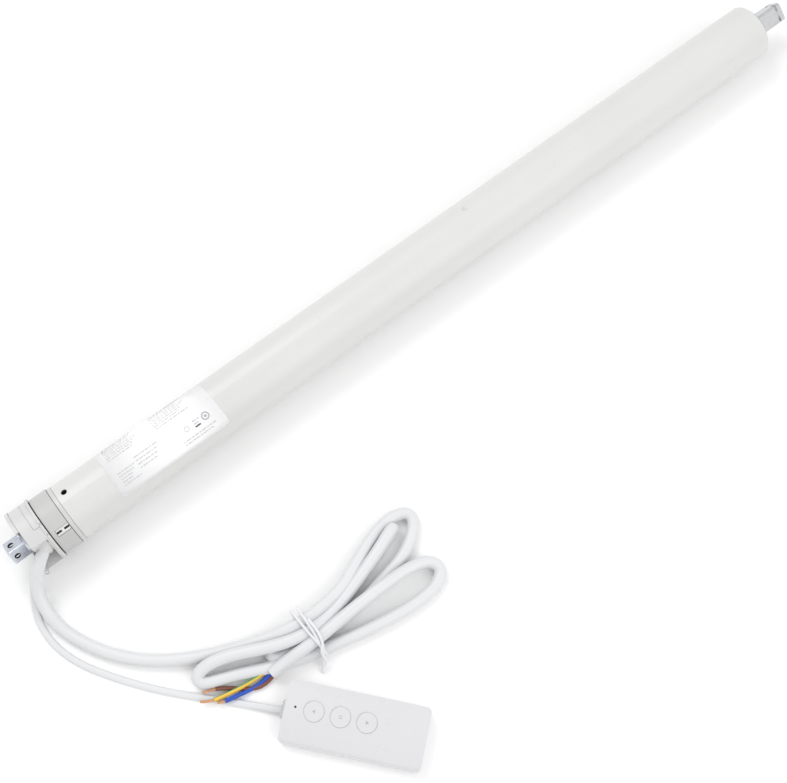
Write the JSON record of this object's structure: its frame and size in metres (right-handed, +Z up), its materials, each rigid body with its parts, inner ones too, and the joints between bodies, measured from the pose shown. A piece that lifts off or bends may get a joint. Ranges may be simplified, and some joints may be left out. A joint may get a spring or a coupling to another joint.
{
  "type": "tubular roller shutter motor",
  "caption": "Tubular roller shutter motor with free crown, square bracket pin, planetary gearbox, square drive shaft, mains lead and wired button box.",
  "frame": {"origin": "on the motor's axis, at the end of the crown that faces the head", "axes": "+X along the motor from its head to its drive shaft, +Z up, the cables and the control box on the -Y side"},
  "size_m": [0.6007, 0.2514, 0.04],
  "materials": {
    "white_paint": "satin paint",
    "white_plastic": "fine satin moulding",
    "grey_plastic": "fine satin moulding",
    "latch_plastic": "satin",
    "washer_plastic": "moulded",
    "zinc_plate": "zinc plated",
    "grey_nylon": "moulded",
    "circuit_board": "solder mask",
    "capacitor_can": "drawn can",
    "cast_zinc": "die cast",
    "copper_winding": "enamelled wire",
    "plain_steel": "machined",
    "brake_lining": "bonded lining",
    "core_steel": "stacked sheets",
    "gear_steel": "sintered",
    "bronze": "sintered",
    "gear_nylon": "moulded nylon",
    "box_plastic": "semi gloss",
    "switch_plastic": "moulded",
    "clear_plastic": "clear",
    "rubber_white": "moulded",
    "cable_white": "smooth jacket",
    "core_brown": "smooth",
    "core_blue": "smooth",
    "core_earth": "striped green and yellow",
    "tie_white": "coated wire"
  },
  "bodies": {
    "motor_frame": {"board_carrier": "grey_nylon", "box_base": "box_plastic", "box_board": "circuit_board", "box_gland": "rubber_white", "box_lid": "box_plastic", "box_screws": "plain_steel", "brake_coil": "copper_winding", "brake_housing": "cast_zinc", "button_switches": "switch_plastic", "control_board": "circuit_board", "control_cable": "cable_white", "core_blue": "core_blue", "core_brown": "core_brown", "core_earth": "core_earth", "crown_washers": "washer_plastic", "end_cap": "grey_nylon", "front_bell": "cast_zinc", "hank_tie": "tie_white", "head_body": "white_plastic", "head_cover": "white_plastic", "head_plate": "zinc_plate", "head_screws": "zinc_plate", "light_pipe": "clear_plastic", "mains_cable": "cable_white", "mains_gland": "rubber_white", "mains_hank": "cable_white", "motor_tube": "white_paint", "output_bush": "bronze", "rear_bell": "cast_zinc", "ring_gear": "gear_steel", "run_capacitor": "capacitor_can", "shaft_bearings": "plain_steel", "square_pin": "zinc_plate", "stator_core": "core_steel", "stator_winding": "copper_winding", "stop_collar": "white_plastic"},
    "crown": {"crown_ring": "grey_plastic", "crown_latch": "latch_plastic"},
    "output": {"output_shaft": "plain_steel"},
    "second_carrier": {"second_carrier": "gear_steel"},
    "first_carrier": {"first_carrier": "gear_steel"},
    "rotor": {"rotor_shaft": "plain_steel", "rotor_core": "core_steel", "brake_disc": "brake_lining"},
    "armature": {"brake_armature": "plain_steel"},
    "key_up": {"button_up": "box_plastic"},
    "key_stop": {"button_stop": "box_plastic"},
    "key_down": {"button_down": "box_plastic"},
    "first_planet_1": {"first_planet_1": "gear_nylon"},
    "first_planet_2": {"first_planet_2": "gear_nylon"},
    "first_planet_3": {"first_planet_3": "gear_nylon"},
    "second_planet_1": {"second_planet_1": "gear_nylon"},
    "second_planet_2": {"second_planet_2": "gear_nylon"},
    "second_planet_3": {"second_planet_3": "gear_nylon"},
    "third_planet_1": {"third_planet_1": "gear_nylon"},
    "third_planet_2": {"third_planet_2": "gear_nylon"},
    "third_planet_3": {"third_planet_3": "gear_nylon"}
  },
  "joints": [
    {"name": "crown_spin", "type": "hinge", "parent": "motor_frame", "child": "crown", "pos_m": [0.006, 0, 0], "axis": [1, 0, 0], "continuous": true},
    {"name": "output_spin", "type": "hinge", "parent": "motor_frame", "child": "output", "pos_m": [0.5, 0, 0], "axis": [1, 0, 0], "continuous": true},
    {"name": "second_carrier_spin", "type": "hinge", "parent": "motor_frame", "child": "second_carrier", "pos_m": [0.425, 0, 0], "axis": [1, 0, 0], "continuous": true},
    {"name": "first_carrier_spin", "type": "hinge", "parent": "motor_frame", "child": "first_carrier", "pos_m": [0.4, 0, 0], "axis": [1, 0, 0], "continuous": true},
    {"name": "rotor_spin", "type": "hinge", "parent": "motor_frame", "child": "rotor", "pos_m": [0.32, 0, 0], "axis": [1, 0, 0], "continuous": true},
    {"name": "third_planet_1_spin", "type": "hinge", "parent": "output", "child": "third_planet_1", "pos_m": [0.436, 0.00945, 0], "axis": [1, 0, 0], "continuous": true},
    {"name": "third_planet_2_spin", "type": "hinge", "parent": "output", "child": "third_planet_2", "pos_m": [0.436, -0.00473, 0.00818], "axis": [1, 0, 0], "continuous": true},
    {"name": "third_planet_3_spin", "type": "hinge", "parent": "output", "child": "third_planet_3", "pos_m": [0.436, -0.00473, -0.00818], "axis": [1, 0, 0], "continuous": true},
    {"name": "second_planet_1_spin", "type": "hinge", "parent": "second_carrier", "child": "second_planet_1", "pos_m": [0.412, 0.00945, 0], "axis": [1, 0, 0], "continuous": true},
    {"name": "second_planet_2_spin", "type": "hinge", "parent": "second_carrier", "child": "second_planet_2", "pos_m": [0.412, -0.00473, 0.00818], "axis": [1, 0, 0], "continuous": true},
    {"name": "second_planet_3_spin", "type": "hinge", "parent": "second_carrier", "child": "second_planet_3", "pos_m": [0.412, -0.00473, -0.00818], "axis": [1, 0, 0], "continuous": true},
    {"name": "first_planet_1_spin", "type": "hinge", "parent": "first_carrier", "child": "first_planet_1", "pos_m": [0.392, 0.00945, 0], "axis": [1, 0, 0], "continuous": true},
    {"name": "first_planet_2_spin", "type": "hinge", "parent": "first_carrier", "child": "first_planet_2", "pos_m": [0.392, -0.00473, 0.00818], "axis": [1, 0, 0], "continuous": true},
    {"name": "first_planet_3_spin", "type": "hinge", "parent": "first_carrier", "child": "first_planet_3", "pos_m": [0.392, -0.00473, -0.00818], "axis": [1, 0, 0], "continuous": true},
    {"name": "brake_release", "type": "slide", "parent": "motor_frame", "child": "armature", "axis": [-1, 0, 0], "range_m": [0, 0.0004], "stiffness_N_per_m": 2000, "springref_m": -0.001},
    {"name": "press_up", "type": "slide", "parent": "motor_frame", "child": "key_up", "axis": [0, 0, -1], "range_m": [0, 0.0005], "stiffness_N_per_m": 600, "springref_m": -0.0008},
    {"name": "press_stop", "type": "slide", "parent": "motor_frame", "child": "key_stop", "axis": [0, 0, -1], "range_m": [0, 0.0005], "stiffness_N_per_m": 600, "springref_m": -0.0008},
    {"name": "press_down", "type": "slide", "parent": "motor_frame", "child": "key_down", "axis": [0, 0, -1], "range_m": [0, 0.0005], "stiffness_N_per_m": 600, "springref_m": -0.0008}
  ],
  "couplings": [
    {"joint": "first_carrier_spin", "follows": "rotor_spin", "ratio": 0.22222},
    {"joint": "second_carrier_spin", "follows": "rotor_spin", "ratio": 0.049383},
    {"joint": "output_spin", "follows": "rotor_spin", "ratio": 0.010974},
    {"joint": "third_planet_1_spin", "follows": "rotor_spin", "ratio": -0.030727},
    {"joint": "third_planet_2_spin", "follows": "rotor_spin", "ratio": -0.030727},
    {"joint": "third_planet_3_spin", "follows": "rotor_spin", "ratio": -0.030727},
    {"joint": "second_planet_1_spin", "follows": "rotor_spin", "ratio": -0.13827},
    {"joint": "second_planet_2_spin", "follows": "rotor_spin", "ratio": -0.13827},
    {"joint": "second_planet_3_spin", "follows": "rotor_spin", "ratio": -0.13827},
    {"joint": "first_planet_1_spin", "follows": "rotor_spin", "ratio": -0.62222},
    {"joint": "first_planet_2_spin", "follows": "rotor_spin", "ratio": -0.62222},
    {"joint": "first_planet_3_spin", "follows": "rotor_spin", "ratio": -0.62222}
  ]
}
